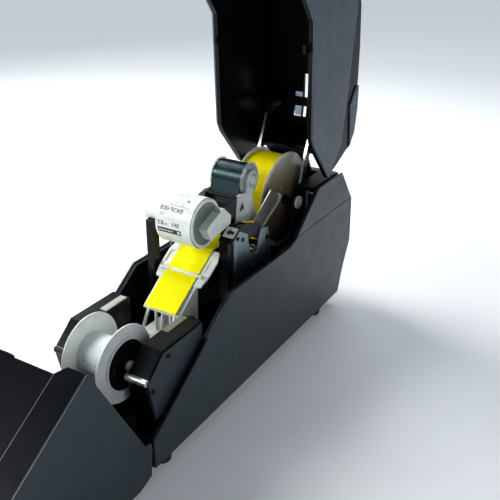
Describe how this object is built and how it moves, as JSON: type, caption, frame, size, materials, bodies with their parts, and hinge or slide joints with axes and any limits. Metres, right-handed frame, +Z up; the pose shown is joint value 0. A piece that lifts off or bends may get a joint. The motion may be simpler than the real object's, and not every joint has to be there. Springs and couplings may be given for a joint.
{
  "type": "label maker",
  "caption": "Desktop label printer with its hood open, front cover lowered, yellow tape from a supply roll through the print unit to a rewind reel.",
  "frame": {"origin": "centre of the footprint of the whole machine as posed, at the underside of the rubber feet", "axes": "+Z up, -Y the front where the cover folds down, +Y the rear where the hood stands open, +X the right side seen from the front"},
  "size_m": [0.166, 0.788, 0.6252],
  "materials": {
    "case_dark": "fine-textured dark slate plastic",
    "case_black": "smooth black plastic",
    "panel_slate": "fine-textured slate grey plastic",
    "white_plastic": "satin off-white plastic",
    "clear_cream": "slightly translucent cream plastic",
    "steel": "brushed",
    "plated": "polished",
    "rubber_black": "matt",
    "label_yellow": "smooth coated label stock",
    "film_black": "shiny ink film",
    "cardboard": "plain paper tube",
    "circuit": "green board with parts",
    "core_paper": "pale blue paper",
    "window_clear": "tinted clear",
    "grip": "ribbed olive grey"
  },
  "bodies": {
    "base": {"base_tray": "case_dark", "side_walls": "case_black", "side_panels": "panel_slate", "upper_panels": "panel_slate", "rear_cover": "case_dark", "top_deck": "case_black", "rubber_feet": "rubber_black", "right_arm": "case_black", "left_arm": "case_black", "arm_plates": "panel_slate", "grip_strips": "grip", "screws": "steel", "main_board": "circuit", "power_supply": "steel", "power_inlet": "case_black", "nose_rods": "plated", "spindle_bushes": "case_black", "rewind_motor": "steel", "reel_stand": "case_black", "media_cassette": "white_plastic", "guide_bar": "white_plastic", "label_tape": "label_yellow", "frame_posts": "case_black", "guide_plates": "steel", "feed_motor": "steel", "takeup_cover": "white_plastic", "drive_block": "white_plastic", "cartridge_sides": "white_plastic", "cartridge_frame": "case_black", "ribbon_film": "film_black", "hinge_pins": "steel", "hinge_brackets": "steel"},
    "rewind_reel": {"rewind_reel": "white_plastic", "core_label": "core_paper", "rewind_hub": "case_black", "rewind_spindle": "plated", "rewind_gear": "white_plastic"},
    "rewind_pinion": {"rewind_pinion": "white_plastic"},
    "supply_reel": {"supply_spindle": "white_plastic", "supply_core": "cardboard", "label_roll": "label_yellow", "supply_flanges": "clear_cream"},
    "platen": {"platen_roller": "rubber_black", "platen_shaft": "plated", "platen_gear": "white_plastic"},
    "feed_pinion": {"feed_pinion": "white_plastic"},
    "printhead": {"printhead": "steel", "head_bracket": "case_black", "head_lever": "white_plastic"},
    "ribbon_takeup": {"takeup_core": "white_plastic"},
    "ribbon_supply": {"ribbon_supply": "film_black"},
    "hood": {"hood_shell": "case_black", "hood_side_panels": "panel_slate", "hood_trims": "panel_slate", "hood_window": "window_clear", "hood_arms": "case_black"},
    "front_cover": {"front_cover_shell": "case_black", "front_cover_panels": "panel_slate", "cover_pins": "steel"},
    "power_switch": {"power_switch": "case_black"}
  },
  "joints": [
    {"name": "hood_hinge", "type": "hinge", "parent": "base", "child": "hood", "pos_m": [0, 0.2659, 0.225], "axis": [1, 0, 0], "range_deg": [0, 87.2]},
    {"name": "front_cover_hinge", "type": "hinge", "parent": "base", "child": "front_cover", "pos_m": [0, -0.1886, 0.054], "axis": [1, 0, 0], "range_deg": [-84, 0]},
    {"name": "rewind_spin", "type": "hinge", "parent": "base", "child": "rewind_reel", "pos_m": [0, -0.1556, 0.137], "axis": [1, 0, 0], "continuous": true},
    {"name": "rewind_pinion_spin", "type": "hinge", "parent": "base", "child": "rewind_pinion", "pos_m": [0, -0.1444, 0.137], "axis": [1, 0, 0], "continuous": true},
    {"name": "supply_spin", "type": "hinge", "parent": "base", "child": "supply_reel", "pos_m": [0, 0.2394, 0.216], "axis": [1, 0, 0], "continuous": true},
    {"name": "platen_spin", "type": "hinge", "parent": "base", "child": "platen", "pos_m": [0, 0.0984, 0.194], "axis": [1, 0, 0], "continuous": true},
    {"name": "feed_pinion_spin", "type": "hinge", "parent": "base", "child": "feed_pinion", "pos_m": [0, 0.0984, 0.1688], "axis": [1, 0, 0], "continuous": true},
    {"name": "printhead_lift", "type": "hinge", "parent": "base", "child": "printhead", "pos_m": [0, 0.1404, 0.196], "axis": [1, 0, 0], "range_deg": [-8, 0]},
    {"name": "ribbon_takeup_spin", "type": "hinge", "parent": "base", "child": "ribbon_takeup", "pos_m": [0, 0.0164, 0.257], "axis": [1, 0, 0], "continuous": true},
    {"name": "ribbon_supply_spin", "type": "hinge", "parent": "base", "child": "ribbon_supply", "pos_m": [0, 0.1364, 0.28], "axis": [1, 0, 0], "continuous": true},
    {"name": "power_switch_rock", "type": "hinge", "parent": "base", "child": "power_switch", "pos_m": [0, 0.375, 0.138], "axis": [1, 0, 0], "range_deg": [0, 14]}
  ],
  "couplings": [
    {"joint": "rewind_pinion_spin", "follows": "rewind_spin", "ratio": -1.2},
    {"joint": "feed_pinion_spin", "follows": "platen_spin", "ratio": -4}
  ]
}
